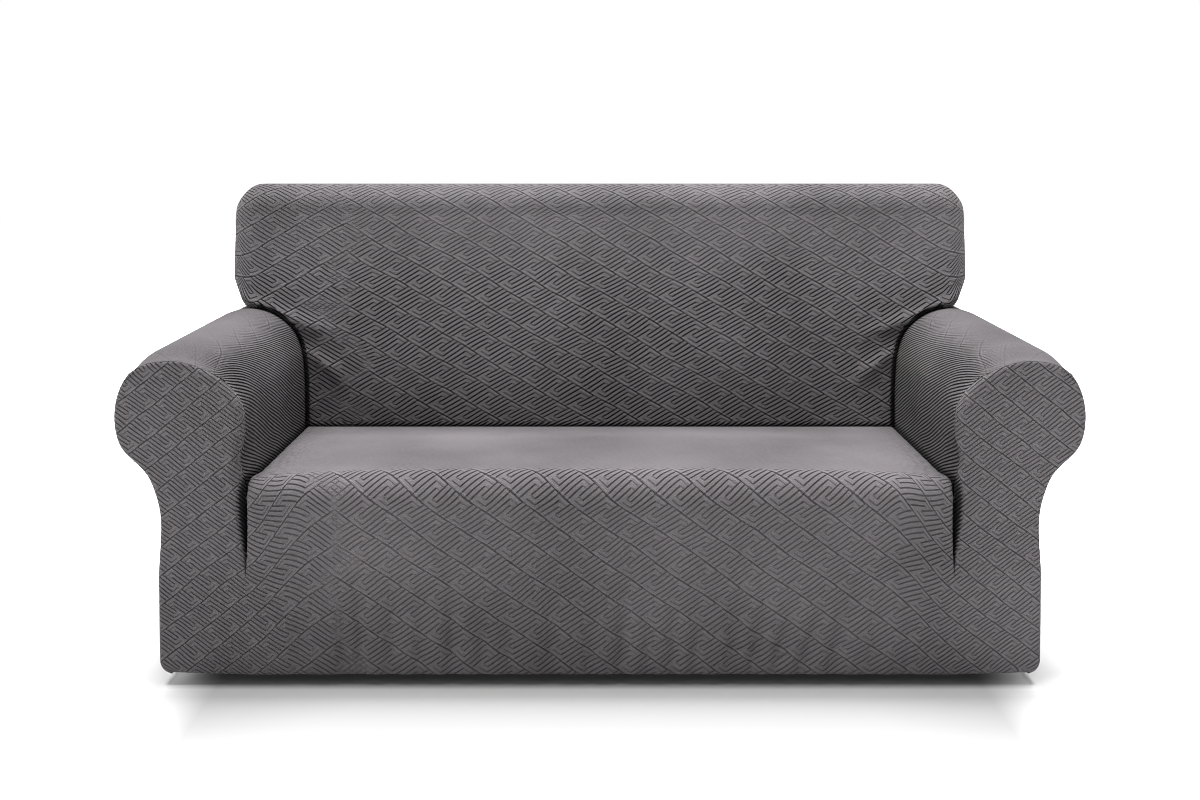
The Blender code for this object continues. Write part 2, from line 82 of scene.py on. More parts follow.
BULGE_HEIGHT = 0.56
BACK_ROUND = 0.062
WING_X = 0.847
WING_FOOT_HEIGHT = 0.075
WING_FOOT_DEPTH = 0.027
CREVICE = 0.012
FLANGE = 0.020
NOTCH = 0.002
FILL_START = -0.415
FILL_END = -0.350
FILL_FRONT_SHARE = 0.7
FILL_FULL = -0.388
FULL_Y = 0.200
ARM_TUCK = 0.036
ARM_NOTCH_Y = 0.210
# How far the cover settles: its back's corners in and down, its rear top down, its wings and its feet in
CORNER_IN = 0.008
CORNER_DOWN = 0.004
REAR_TOP_DOWN = 0.007
WING_IN = 0.013
FOOT_IN = 0.016
FOOT_HEIGHT = 0.026

# ---- How finely each part of the cover is divided ----
MIDDLE_COLUMNS = 216
ROLL_STEPS = 14
SEAT_ROWS = 44
PUCKER_ROWS = 6
LIP_STEPS = 5
CREASE_STEPS = 4 * FINE
FRONT_COLUMNS = 9 * FINE
ARM_START_ROWS = 6
ARM_ROWS = 92
ARM_REAR_ROWS = 26
RIM_STEPS = 6
BACK_COLUMNS = 168
BACK_ROWS = 34
BACK_ROUND_STEPS = 10
BACK_SIDE_ROWS = 16
CORNER_STEPS = 14
BEND_STEPS = 5
REAR_TOP_STEPS = 30
ARM_WEAVE_STOPS = 300

# The right arm's section, from the cloth tucked beside the seat, over the roll and down to the hem.
# name, x and z of its front edge, x and z of the full arm, facets to the next row
ARM_SECTION = (
    ("tucked edge", CREASE_X, CREASE_TOP, 0.6730, CREASE_TOP, 1),
    ("seat line", 0.6870, 0.3880, 0.6725, 0.3900, 1),
    ("waist", 0.6915, 0.4280, 0.6725, 0.4400, 2),
    ("inner side", 0.6805, 0.4820, 0.6745, 0.5000, 2),
    ("inner shoulder", 0.6830, 0.5350, 0.6805, 0.5560, 2),
    ("inner top", 0.7150, 0.5830, 0.7050, 0.6085, 2),
    ("upper slope", 0.7560, 0.6095, 0.7500, 0.6405, 2),
    ("crown", 0.8000, 0.6230, 0.7980, 0.6512, 1),
    ("wing foot", 0.8220, 0.6235, 0.8220, 0.6490, 2),
    ("outer top", 0.8650, 0.6160, 0.8650, 0.6330, 2),
    ("outer shoulder", 0.8995, 0.5900, 0.9005, 0.6010, 3),
    ("widest", 0.9250, 0.5260, 0.9250, 0.5300, 2),
    ("underside", 0.9190, 0.4610, 0.9190, 0.4610, 3),
    ("neck", 0.8660, 0.3945, 0.8670, 0.3945, 2),
    ("wall top", 0.8525, 0.3530, 0.8530, 0.3530, 2),
    ("crease height", 0.8575, CREASE_FOOT, 0.8575, CREASE_FOOT, 3),
    ("hem top", 0.8630, 0.0500, 0.8630, 0.0500, 1),
    ("hem fold", 0.8634, 0.0180, 0.8634, 0.0180, 1),
    ("hem turn", 0.8620, 0.0060, 0.8620, 0.0060, 1),
    ("hem edge", 0.8570, 0.0000, 0.8570, 0.0000, 0),
)

# The soft upright folds of the front:
# x at the hem, how far each leans right going up, height, depth, half width
FRONT_FOLDS = (
    (-0.590, 0.02, 0.150, 0.0016, 0.022),
    (-0.500, 0.00, 0.200, 0.0030, 0.018),
    (-0.470, 0.01, 0.260, 0.0034, 0.013),
    (-0.408, 0.00, 0.240, 0.0030, 0.016),
    (-0.352, 0.02, 0.200, 0.0030, 0.016),
    (-0.290, 0.00, 0.270, 0.0036, 0.015),
    (-0.232, 0.03, 0.180, 0.0034, 0.015),
    (-0.178, 0.00, 0.230, 0.0028, 0.015),
    (-0.096, 0.05, 0.220, 0.0034, 0.022),
    (-0.022, 0.00, 0.160, 0.0026, 0.014),
    (0.042, 0.06, 0.280, 0.0040, 0.017),
    (0.092, 0.04, 0.170, 0.0026, 0.014),
    (0.142, 0.03, 0.230, 0.0032, 0.016),
    (0.186, 0.05, 0.200, 0.0034, 0.013),
    (0.256, 0.10, 0.250, 0.0032, 0.018),
    (0.296, 0.18, 0.220, 0.0036, 0.014),
    (0.342, 0.24, 0.210, 0.0034, 0.016),
    (0.394, 0.28, 0.230, 0.0030, 0.016),
    (0.455, 0.20, 0.240, 0.0034, 0.020),
    (0.532, 0.10, 0.180, 0.0024, 0.020),
    (0.600, 0.04, 0.150, 0.0018, 0.022),
)

# The pull folds where the back is drawn in over each arm: start x, z, end x, z, height, half width
PULL_FOLDS = (
    (0.790, 0.658, 0.560, 0.578, 0.0100, 0.015),
    (0.730, 0.612, 0.610, 0.530, -0.0080, 0.011),
    (0.700, 0.592, 0.560, 0.470, 0.0080, 0.014),
    (0.700, 0.560, 0.560, 0.452, 0.0030, 0.022),
)

# ---- The weave: half the width and half the height of one lozenge, as far as each part is stretched ----
BACK_LOZENGE = (0.0528, 0.0307)
FRONT_LOZENGE = (0.0470, 0.0335)
ARM_FACE_LOZENGE = (0.0360, 0.0280)
ARM_LOZENGE = (0.0450, 0.0320)
ARM_RIBS = (0.0690, 0.0270)
# The slants of the weave are mirrored to the left of these lines. The last two lie beyond their pieces.
BACK_TURN_X = -0.58
FRONT_TURN_X = -0.51
REAR_TURN_X = -1.8
ARM_UNTURNED = 40.0
# How far up the back's front, along its slope, the seat's top lies. The rear panel has no such foot.
BACK_FOOT_RUN = 0.3985
NO_FOOT = -1.0
# How clearly the weave stands out on each piece, and how much more or less so in its parts
FRONT_RELIEF = 0.80
FACE_RELIEF = 0.12
ROLL_RELIEF = 0.24
SEAT_RELIEF = -0.86
BACK_RELIEF = 1.3
BACK_TOP_RELIEF = -0.42
# A stronger weave is also darker, so the stronger weave in tucks and on the arms' inner sides is partly
# painted shade.
BACK_TUCK_RELIEF_AND_SHADE = 0.3
ARM_RELIEF = 0.14
ARM_INNER_RELIEF_AND_SHADE = 1.36
ARM_OUTER_RELIEF = 0.45
TUCK_RELIEF_AND_SHADE = 1.1
CLOTH_COLOUR = (0.1250, 0.1160, 0.1215)
BUMP_DISTANCE = 0.001


def make_camera():
    data = bpy.data.cameras.new("camera")
    data.lens = 45.0
    data.sensor_width = 36.0
    camera = bpy.data.objects.new("camera", data)
    camera.location = (0.0, -3.24, 1.052)
    camera.rotation_euler = (math.radians(90.0 - 10.2), 0.0, 0.0)
    bpy.context.scene.collection.objects.link(camera)
    bpy.context.scene.camera = camera


def smoothstep(value):
    value = np.clip(value, 0.0, 1.0)
    return value * value * (3.0 - 2.0 * value)


def smooth_curve(knots, points, places):
    """A cubic curve through the points, which lie at the knots, read at some places along it."""
    slopes = np.gradient(points, knots, axis=0)
    first = np.clip(np.searchsorted(knots, places, side="right") - 1, 0, len(knots) - 2)
    span = (knots[first + 1] - knots[first])[..., None]
    t = (places - knots[first])[..., None] / span
    start = (1 + 2 * t) * (1 - t) ** 2 * points[first] + t * (1 - t) ** 2 * span * slopes[first]
    end = t * t * (3 - 2 * t) * points[first + 1] - t * t * (1 - t) * span * slopes[first + 1]
    return start + end


SECTION_NAMES = [row[0] for row in ARM_SECTION]
SECTION_FRONT = np.array([row[1:3] for row in ARM_SECTION])
SECTION_FULL = np.array([row[3:5] for row in ARM_SECTION])
SECTION_STEPS = [row[5] * FINE for row in ARM_SECTION]
SECTION_KNOTS = np.concatenate([[0.0], np.cumsum(np.linalg.norm(np.diff(SECTION_FULL, axis=0), axis=1))])


def knot(name):
    """How far along the arm's section this row lies."""
    return SECTION_KNOTS[SECTION_NAMES.index(name)]


def steps_before(name):
    """How many facets the arm's section has before this row."""
    return sum(SECTION_STEPS[: SECTION_NAMES.index(name)])


def section_steps(first, last):
    """The places along the arm's section from one row to another."""
    rows = range(SECTION_NAMES.index(first), SECTION_NAMES.index(last))
    spans = [np.linspace(*SECTION_KNOTS[i : i + 2], SECTION_STEPS[i], endpoint=False) for i in rows]
    return np.concatenate([*spans, [knot(last)]])


def arm_fill(y):
    """0 at the arm's front edge, 1 where the arm is full."""
    swell = FILL_FRONT_SHARE * smoothstep((y - FILL_START) / (FILL_END - FILL_START))
    return swell + (1 - FILL_FRONT_SHARE) * np.clip((y - FILL_START) / (FULL_Y - FILL_START), 0.0, 1.0)


def arm_section(along, fill):
    """Points of the arm's section, with the way out from it at each."""
    step = 1e-4
    last = SECTION_KNOTS[-1]

    def at(places):
        front = smooth_curve(SECTION_KNOTS, SECTION_FRONT, places)
        full = smooth_curve(SECTION_KNOTS, SECTION_FULL, places)
        return front + (full - front) * fill[..., None]

    tangent = at(np.clip(along + step, 0, last)) - at(np.clip(along - step, 0, last))
    tangent /= np.linalg.norm(tangent, axis=-1, keepdims=True)
    return at(along), np.stack([-tangent[..., 1], tangent[..., 0]], axis=-1)


def arm_surface(along, y, lift=0.0, upright=False, settle=1.0):
    """Points of the right arm, lifted off it. An upright lift never leans outwards."""
    along, y, lift = np.broadcast_arrays(along, y, lift)
    point, way = arm_section(along, arm_fill(y) * settle)
    if upright:
        way = np.stack([np.minimum(way[..., 0], 0.0), way[..., 1]], axis=-1)
        way /= np.linalg.norm(way, axis=-1, keepdims=True)
    place = point + way * lift[..., None]
    return np.stack([place[..., 0], y, place[..., 1]], axis=-1)


def hem_turn(z):
    """How far the cloth is drawn in near the hem."""
    return HEM_TURN * np.clip(1 - z / HEM_TURN_HEIGHT, 0.0, 1.0) ** 2


def around_rim(point, way, end, radius, angle, run=0.0, turned=0.0, side=0.0):
    """Points round the edge between an end panel and the cloth beside it.

    end is -1 at the front and 1 at the rear. angle is 0 on the panel and a right angle beside it,
    run goes on straight past it, turned goes in along the seam and side is -1 or 1 for its two cloths.
    """
    sine = np.sin(angle)
    cosine = np.cos(angle)
    out = -radius * (1 - sine) - turned * sine + side * cosine * SEAM_GAP / 2
    deep = radius * (1 - cosine) + run + turned * cosine + side * sine * SEAM_GAP / 2
    place = point + way * np.broadcast_to(out, point.shape[:-1])[..., None]
    y = end * (DEPTH / 2 - hem_turn(point[..., 1]) - deep)
    return np.stack([place[..., 0], y, place[..., 1]], axis=-1)


def front_edge(along):
    """The arm's front edge: radius, angle and run up to its seam. Its inner side is softer and deeper."""
    inner = 1 - smoothstep((along - knot("inner shoulder")) / (knot("crown") - knot("inner shoulder")))
    radius = FACE_ROUND + (ARM_LIP - FACE_ROUND) * inner
    angle = math.pi / 4 * (1 + inner)
    low = 1 - smoothstep(along / knot("waist"))
    least = 0.002
    run = (least + (TUCK - ARM_LIP - least) * low) * inner
    return radius, angle, run


def front_rim(along, share, run=0.0, turned=0.0, side=0.0):
    """Points round the arm's front edge. share is 0 on the front and 1 at the seam, and 2 past it."""
    point, way = arm_section(along, np.zeros_like(along))
    radius, seam_angle, seam_run = front_edge(along)
    before = min(share, 1.0)
    past = max(share - 1.0, 0.0)
    angle = seam_angle * before + (math.pi / 2 - seam_angle) * past
    straight = seam_run * max(2 * before - 1, 0.0) + run
    return around_rim(point, way, -1, radius, angle, straight, turned, side)


def seam_gape(along):
    """How wide the arm's front seam stands open, in times its least gap."""
    outer = np.exp(-(((along - knot("outer shoulder") + 0.012) / 0.020) ** 2))
    inner = np.exp(-(((along - knot("inner top") - 0.004) / 0.012) ** 2))
    return 1.0 + OUTER_SEAM_GAPE * outer + INNER_SEAM_GAPE * inner


def back_face_y(x, z):
    """The front of the back: raked, a little full in the middle, with its pull folds."""
    middle = 1 - np.clip(np.abs(x) / BULGE_HALF_WIDTH, 0, 1) ** 4
    full = BACK_BULGE * middle * np.sin(math.pi * np.clip((z - BULGE_FOOT) / BULGE_HEIGHT, 0, 1))
    y = BACK_FOOT_Y + BACK_RAKE * (z - SEAT_Z) - full
    for x0, z0, x1, z1, height, half in PULL_FOLDS:
        length = math.hypot(x1 - x0, z1 - z0)
        dx = (x1 - x0) / length
        dz = (z1 - z0) / length
        run = ((np.abs(x) - x0) * dx + (z - z0) * dz) / length
        off = (np.abs(x) - x0) * dz - (z - z0) * dx
        ends = smoothstep(3 * run + 0.6) * smoothstep(1.8 * (1 - run))
        y = y - height * np.exp(-((off / half) ** 2)) * ends
    return y


def front_fold(x, z):
    """How far the front's cloth lies in from its plane. The hem holds it straighter."""
    deep = np.zeros(np.broadcast(x, z).shape)
    for foot, lean, height, depth, half in FRONT_FOLDS:
        across = (x - foot - lean * z) / (FOLD_WIDTH_SHARE * half)
        deep = deep + FOLD_SHARE * depth * np.exp(-(across**2)) * (1 - smoothstep(z / height))
    return deep * (HEM_FOLD_SHARE + (1 - HEM_FOLD_SHARE) * smoothstep(z / 0.06))


def blended_patch(bottom, top, left, right):
    """A four-sided grid between its four edges. Rows run from bottom to top, columns from left to right."""
    v = np.linspace(0, 1, len(left))[:, None, None]
    u = np.linspace(0, 1, len(bottom))[None, :, None]
    ruled = (1 - v) * bottom[None] + v * top[None] + (1 - u) * left[:, None] + u * right[:, None]
    low_corners = (1 - u) * (1 - v) * bottom[0] + u * (1 - v) * bottom[-1]
    high_corners = (1 - u) * v * top[0] + u * v * top[-1]
    return ruled - low_corners - high_corners


def crease_share(z):
    """How open the crease is, from its foot up."""
    return np.sin(math.pi / 2 * np.clip((z - CREASE_FOOT) / (CREASE_TOP - CREASE_FOOT), 0.0, 1.0))


def low_heights():
    """The heights of the front's rows below the creases, from the hem up."""
    along = section_steps("crease height", "hem edge")
    return arm_section(along, np.zeros_like(along))[0][::-1, 1]


def settled(points):
    """The cover as it settles: rounder at the back's top and wings and at the foot of its sides."""
    x, y, z = np.moveaxis(points, -1, 0)
    far = np.abs(x)
    corner = smoothstep((far - 0.770) / 0.080) * smoothstep((z - 0.850) / 0.080)
    foot = np.clip(1 - z / FOOT_HEIGHT, 0.0, 1.0) ** 2 * smoothstep((far - 0.80) / 0.05)
    wing = smoothstep((far - 0.76) / 0.08) * (1 - smoothstep((far - 0.865) / 0.05))
    wing = wing * smoothstep((y - 0.17) / 0.04)
    wing = wing * smoothstep((z - 0.61) / 0.04) * (1 - smoothstep((z - 0.655) / 0.085))
    rear_top = smoothstep((y - 0.26) / 0.17) * smoothstep((z - 0.88) / 0.04)
    inwards = CORNER_IN * corner + FOOT_IN * foot + WING_IN * wing
    down = CORNER_DOWN * corner + REAR_TOP_DOWN * rear_top
    return np.stack([x - np.sign(x) * inwards, y, z - down], axis=-1)


# ---- Patches: each is a grid of points, the weave's place at each, and whether it faces the other way ----
def both_sides(grid, weave, flipped=False):
    """This patch and its mirror image."""
    return [(grid, weave, flipped), (grid * MIRROR, weave * MIRROR[: weave.shape[-1]], not flipped)]


def cloth_run(grid):
    """How far each point lies from the first row, along the cloth."""
    steps = np.linalg.norm(np.diff(grid, axis=0), axis=-1)
    return np.concatenate([np.zeros((1, grid.shape[1])), np.cumsum(steps, axis=0)])


def run_from(start, grid, way):
    """The weave's place row by row, as far from the start as the cloth runs, along the way that it goes."""
    return start[None] + way[None] * cloth_run(grid)[..., None]


def tucked_in_with_shade(places, share):
    """The weave's place, with how far the cloth is tucked in there, from 0 to 1, which sets its ribs and
    its painted shade.
    """
    share = np.broadcast_to(share, places.shape[:-1])
    return np.concatenate([places[..., :2], share[..., None]], axis=-1)


# How far the cloth is tucked in, which sets its ribs and its painted shade.
def tuck_and_shade_of(places):
    return places[..., 2] if places.shape[-1] == 3 else np.zeros(places.shape[:-1])


def front_weave(places):
    """The weave's place from metres across and up the front. It is stretched less on the arm fronts.

    Where the cloth is tucked in, it is drawn together into ribs and painted darker as shade.
    """
    x, v = places[..., 0], places[..., 1]
    tuck = tuck_and_shade_of(places)
    far = np.abs(x)
    across = np.minimum(far, 0.62) / FRONT_LOZENGE[0] + np.maximum(far - 0.62, 0.0) / ARM_FACE_LOZENGE[0]
    arm = smoothstep((far - 0.56) / 0.12)
    up = v / (FRONT_LOZENGE[1] + (ARM_FACE_LOZENGE[1] - FRONT_LOZENGE[1]) * arm)
    roll = (1 - arm) * smoothstep((v - CREASE_TOP + 0.02) / 0.03)
    deck = (1 - arm) * smoothstep((v - CREASE_TOP - 0.058) / 0.030)
    relief = FRONT_RELIEF + FACE_RELIEF * arm + ROLL_RELIEF * roll + SEAT_RELIEF * deck
    relief = relief + TUCK_RELIEF_AND_SHADE * tuck
    across = np.sign(x) * across - FRONT_TURN_X / FRONT_LOZENGE[0]
    return np.stack([across, up, relief, 2 * tuck], axis=-1)


def back_weave(places, turn=BACK_TURN_X, foot_run=BACK_FOOT_RUN):
    """The weave's place from metres across and up the back. Below foot_run it is tucked in, in painted
    shade.
    """
    x, v = places[..., 0], places[..., 1]
    # Painted shade: below the seat's top the back's cloth is drawn dark.
    foot = 1 - smoothstep((v - foot_run) / 0.011)
    tuck = np.maximum(tuck_and_shade_of(places), foot)
    relief = BACK_RELIEF + BACK_TOP_RELIEF * smoothstep((v - 0.70) / 0.16) + BACK_TUCK_RELIEF_AND_SHADE * tuck
    return np.stack([(x - turn) / BACK_LOZENGE[0], v / BACK_LOZENGE[1], relief, 2 * tuck], axis=-1)


def arm_weave(run, along, lift):
    """The weave's place over the arm. run goes back from its front seam and along goes round its section.

    Its inner side is all ribs and darker as painted shade, darkest down beside the seat. Its top is nearly
    smooth. lift is how far each point stands above the full arm's section, as the ribs keep their slant
    over the front edge.
    """
    run, along = np.broadcast_arrays(run, along)
    slope = knot("crown") - knot("inner top")
    inner = 1 - smoothstep((along - knot("inner top") + 0.015) / slope)
    outer = smoothstep((along - knot("outer top")) / (knot("widest") - knot("outer top")))
    drawn_out = 1 - smoothstep((along - knot("crown")) / (knot("outer top") - knot("crown")))
    length = ARM_LOZENGE[0] + (ARM_RIBS[0] - ARM_LOZENGE[0]) * drawn_out
    stops = np.linspace(0.0, SECTION_KNOTS[-1], ARM_WEAVE_STOPS)
    ribbed = 1 - smoothstep((stops - knot("inner top")) / slope)
    counts = np.cumsum(1 / (ARM_LOZENGE[1] + (ARM_RIBS[1] - ARM_LOZENGE[1]) * ribbed)) * stops[1]
    beside = 1 - smoothstep((along - knot("inner top")) / slope)
    up = -np.interp(along, stops, counts) - lift * beside / ARM_RIBS[1]
    relief = ARM_RELIEF + ARM_INNER_RELIEF_AND_SHADE * inner + ARM_OUTER_RELIEF * outer
    # Painted shade: the cloth down beside the seat is drawn as dark as a pocket.
    under_seat = 1 - smoothstep((along - knot("seat line") + 0.003) / 0.011)
    return np.stack([run / length + ARM_UNTURNED, up, relief, inner + under_seat], axis=-1)


def arm_front():
    """The front of the right arm and of the corner below it, with its side of the crease and its seam."""
    along = section_steps("tucked edge", "hem edge")
    shares = np.linspace(0, 1, RIM_STEPS + 1)
    edge = front_rim(along, 0.0)
    point, way = arm_section(along, np.zeros_like(along))
    gape = seam_gape(along)
    rim = np.stack([*(front_rim(along, share) for share in shares[:-1]), front_rim(along, 1.0, side=-gape)])
    turned_in = [front_rim(along, 1.0, turned=turned, side=-gape) for turned in (SEAM_EDGE, ALLOWANCE)]
    seam = np.stack([rim[-1], *turned_in])

    z = np.linspace(CREASE_FOOT, CREASE_TOP, CREASE_STEPS + 1)
    open_share = crease_share(z)
    insets = ARM_LIP * (1 - np.sin(math.pi / 2 * shares))
    depths = ARM_LIP * (1 - np.cos(math.pi / 2 * shares))
    depths = depths + (TUCK - ARM_LIP) * np.maximum(2 * shares - 1, 0.0)
    crease = np.stack(
        [
            CREASE_X + insets[:, None] * open_share,
            FRONT + depths[:, None] * open_share,
            np.broadcast_to(z, (len(shares), len(z))),
        ],
        axis=-1,
    )
    rim[-1, 0] = crease[-1, -1]
    crease[:-1, -1] = rim[:-1, 0]

    top_start = steps_before("inner top")
    top_end = steps_before("outer shoulder")
    foot = steps_before("crease height")
    left = np.concatenate([crease[0, :-1], edge[: top_start + 1]])
    right = edge[top_end : foot + 1][::-1]
    bottom = np.linspace(left[0], right[0], FRONT_COLUMNS + 1)
    panel = blended_patch(bottom, edge[top_start : top_end + 1], left, right)

    heights = low_heights()
    inside = np.stack([np.full_like(heights, CREASE_X), FRONT + hem_turn(heights), heights], axis=-1)
    low = np.linspace(inside, edge[foot:][::-1], FRONT_COLUMNS + 1, axis=1)

    flat_rim = run_from(edge[:, ::2], rim, way)
    flat_seam = run_from(flat_rim[-1], seam, way)
    flat_crease = run_from(crease[0, :, ::2], crease, np.array([[-1.0, 0.0]]))
    beside_seat = 1 - smoothstep(along / knot("waist"))
    return [
        (low, low[..., ::2]),
        (panel, panel[..., ::2]),
        # Painted shade: the crease's sides and the seam's turned-in cloth are drawn dark by how far they
        # are tucked in.
        (rim, tucked_in_with_shade(flat_rim, smoothstep(2.8 * shares[:, None] * beside_seat - 0.45))),
        (crease, tucked_in_with_shade(flat_crease, smoothstep(2.8 * shares[:, None] * open_share - 0.45))),
        (seam[:, FINE:], tucked_in_with_shade(flat_seam, np.array([[0.0], [1.0], [1.0]]))[:, FINE:]),
    ]


def seat_edge_x(y):
    """Half the width of the seat piece between the arms."""
    ends = (knot("tucked edge"), knot("seat line"))
    inside = [arm_section(np.full_like(y, end), arm_fill(y))[0][..., 0] for end in ends]
    return np.minimum(*inside) - TUCK_GAP


def middle_rows():
    """The seat piece's rows from the hem up and back: y, z, way out and how far the middle is raised."""
    crease_z = np.linspace(CREASE_FOOT, CREASE_TOP, CREASE_STEPS + 1)[1:]
    rows = [(FRONT + hem_turn(z), z, -1.0, 0.0, 0.0) for z in (*low_heights(), *crease_z)]
    for turn in np.linspace(0, math.pi / 2, ROLL_STEPS + 1)[1:]:
        y = FRONT + ROLL_RADIUS * (1 - math.cos(turn))
        z = CREASE_TOP + ROLL_RADIUS * math.sin(turn)
        rows.append((y, z, -math.cos(turn), math.sin(turn), math.sin(turn) ** 2))
    for y in np.linspace(FRONT + ROLL_RADIUS, SEAT_REAR, SEAT_ROWS + 1)[1:]:
        rows.append((y, SEAT_Z, 0.0, 1.0, 1 - smoothstep((y + 0.12) / 0.22)))
    return np.array(rows)


def seat_piece():
    """The front and seat between the arms, turned down beside them and pushed down behind the seat."""
    y, z, way_y, way_z, raised = (column[:, None] for column in middle_rows().T)
    upright = way_z == 0.0
    share = np.where(upright, crease_share(z), 1.0)
    edge = np.where(upright, CREASE_X, seat_edge_x(y))
    lip = SEAT_LIP * share
    flat = edge - lip

    x = flat * np.linspace(-1, 1, MIDDLE_COLUMNS + 1)
    folded = front_fold(x, z) * smoothstep((0.67 - np.abs(x)) / 0.05) * upright
    crown = SEAT_CROWN * raised * (1 - (x / edge) ** 4)
    lifted = HEM_LIFT_SHARE * folded * np.clip(1 - z / HEM_LIFT_HEIGHT, 0.0, 1.0)
    top = np.stack([x, y + folded, z + crown + lifted], axis=-1)

    turn = np.linspace(0, math.pi / 2, LIP_STEPS + 1)
    down = np.linspace(0, 1, LIP_STEPS)[1:]
    inset = lip * np.concatenate([1 - np.sin(turn), 0 * down])
    depth = lip * np.concatenate([1 - np.cos(turn), 0 * down + 1])
    depth = depth + (TUCK * share - lip) * np.concatenate([0 * turn, down])
    at_lip = crown[:, -1:] * np.concatenate([1 - np.sin(turn), 0 * down])
    row = np.arange(len(y))[:, None]
    on_seat = 0.75 + 0.2 * np.sin(row * 2 * math.pi / PUCKER_ROWS)
    puckers = np.where(upright, 1 + 0.18 * (-1.0) ** row, on_seat)
    gape = SEAT_GAPE * share * puckers * np.concatenate([1 - np.cos(turn), 1 - down])
    flap = np.stack([edge - inset - gape, y - way_y * depth, z - way_z * depth + at_lip], axis=-1)
    first = len(low_heights()) - 1
    behind = behind_seat(top[-1])

    profile = np.concatenate([y, z], axis=1)
    far = np.concatenate([[0.0], np.cumsum(np.linalg.norm(np.diff(profile, axis=0), axis=1))])[:, None]
    flat_top = np.stack([x, far + 0 * x], axis=-1)
    flat_behind = run_from(flat_top[-1], behind, np.array([[0.0, 1.0]]))
    flap_far = np.cumsum(np.linalg.norm(np.diff(flap, axis=1), axis=-1), axis=1)
    flap_run = np.concatenate([0 * lip, flap_far], axis=1)
    flat_flap = flat_top[:, -1:] + flap_run[..., None] * np.array([1.0, 0.0])
    # Painted shade: the flaps turned down beside the arms and the cloth pushed down behind the seat are
    # drawn dark by how far they are tucked in.
    tucked = smoothstep(np.concatenate([turn / 1.9, 1 + down])) * share
    flat_behind = tucked_in_with_shade(flat_behind, np.minimum(np.arange(len(behind)), 1)[:, None])
    patches = [(top, flat_top, False), (behind, flat_behind, False)]
    return patches + both_sides(flap[first:], tucked_in_with_shade(flat_flap, tucked)[first:])


def behind_seat(last):
    """The rear edge of the seat piece, pushed down in front of the back."""
    rows = [last]
    clears = (0.0085, 0.0048, 0.003, TUCK_GAP, TUCK_GAP)
    drops = (0.002, 0.0075, 0.015, 0.026, SEAT_REAR_TUCK)
    for clear, drop in zip(clears, drops):
        z = np.full(len(last), SEAT_Z - drop)
        rows.append(np.stack([last[:, 0], back_face_y(last[:, 0], z) - clear, z], axis=-1))
    return np.stack(rows)


def front_and_seat():
    """The piece that hangs in front, covers the arm fronts and runs back over the seat."""
    patches = seat_piece()
    for grid, flat in arm_front():
        patches += both_sides(grid, flat)
    return [(grid, front_weave(flat), flipped) for grid, flat, flipped in patches]


def arm():
    """The right arm's piece. Its inner side ends beside the back, its outer side at the rear seam."""
    along = section_steps("tucked edge", "hem edge")
    crown = steps_before("crown")
    foot = steps_before("wing foot")
    full, way = arm_section(along, np.ones_like(along))
    beside_back = back_face_y(full[:, 0], full[:, 1]) + ARM_TUCK
    end = np.where(along < along[crown], beside_back, ARM_NOTCH_Y)
    past = np.linspace(1, 2, RIM_STEPS + 1)[1:]
    gape = seam_gape(along)
    rows = [front_rim(along, 1.0, turned=turned, side=gape) for turned in (ALLOWANCE, SEAM_EDGE, 0.0)]
    rows += [front_rim(along, share, run=0.006 * (share - 1)) for share in past]
    seam_rows = len(rows)
    start = rows[-1][:, 1]
    for t in np.linspace(0, 1, ARM_START_ROWS + 1)[1:]:
        rows.append(arm_surface(along, start + (FILL_FULL - start) * t, settle=smoothstep(t)))
    for t in np.linspace(0, 1, ARM_ROWS + 1)[1:]:
        rows.append(arm_surface(along, FILL_FULL + (end - FILL_FULL) * t))

    rear = to_rear(rows[-1], full, way, ARM_REAR_ROWS)
    whole = np.stack(rows)
    run = cloth_run(whole)
    flat = arm_weave(run, along, whole[..., 2] - full[:, 1])
    # Painted shade: the inner side is drawn dark where it tucks in beside the back, and so are the
    # turned-in rows of its seam.
    painted_shade_by_back = smoothstep((whole[..., 1] - beside_back + ARM_TUCK + 0.005) / 0.012)
    painted_shade_by_back = painted_shade_by_back * (along < along[crown])
    flat[..., 3] += (2 - flat[..., 3]) * painted_shade_by_back
    flat[:2, :, 2:] = (1 + TUCK_RELIEF_AND_SHADE, 2.0)
    flat_rear = arm_weave(run[-1] + cloth_run(rear), along, rear[..., 2] - full[:, 1])
    return [
        (whole[:seam_rows, FINE:], flat[:seam_rows, FINE:], False),
        (whole[seam_rows - 1 :], flat[seam_rows - 1 :], False),
        (rear[:ARM_REAR_ROWS, crown : foot + 1], flat_rear[:ARM_REAR_ROWS, crown : foot + 1], False),
        (rear[:, foot:], flat_rear[:, foot:], False),
    ]


def to_rear(first, point, way, count):
    """Rows from the first one straight back to the rear edge, round it and in along its seam."""
    rim = rear_rim(point, way, np.linspace(2, 1, RIM_STEPS + 1), 1)
    straight = [first + (rim[0] - first) * t for t in np.linspace(0, 1, count, endpoint=False)]
    return np.stack(straight + rim)


def rear_rim(point, way, shares, side):
    """Rows round the rear edge, and two turned in along its seam.

    share is 0 on the rear panel and 1 at the seam.
    """
    seam = math.pi / 4
    rows = []
    for share in shares:
        rows.append(around_rim(point, way, 1, REAR_ROUND, share * seam, side=side * (share == 1)))
    for turned in (SEAM_EDGE, ALLOWANCE):
        rows.append(around_rim(point, way, 1, REAR_ROUND, seam, turned=turned, side=side))
    return rows


def wing_foot(angle):
    """How far along the arm's section the back's side stands.

    angle is 0 on the back's front and 90 degrees on its side.
    """
    along = np.linspace(knot("upper slope"), knot("outer top"), 200)
    x = arm_section(along, np.ones_like(along))[0][:, 0]
    return np.interp(WING_X - BACK_ROUND * (1 - math.sin(angle)), x, along)


BEND = np.linspace(0, math.pi / 2, BEND_STEPS + 1)


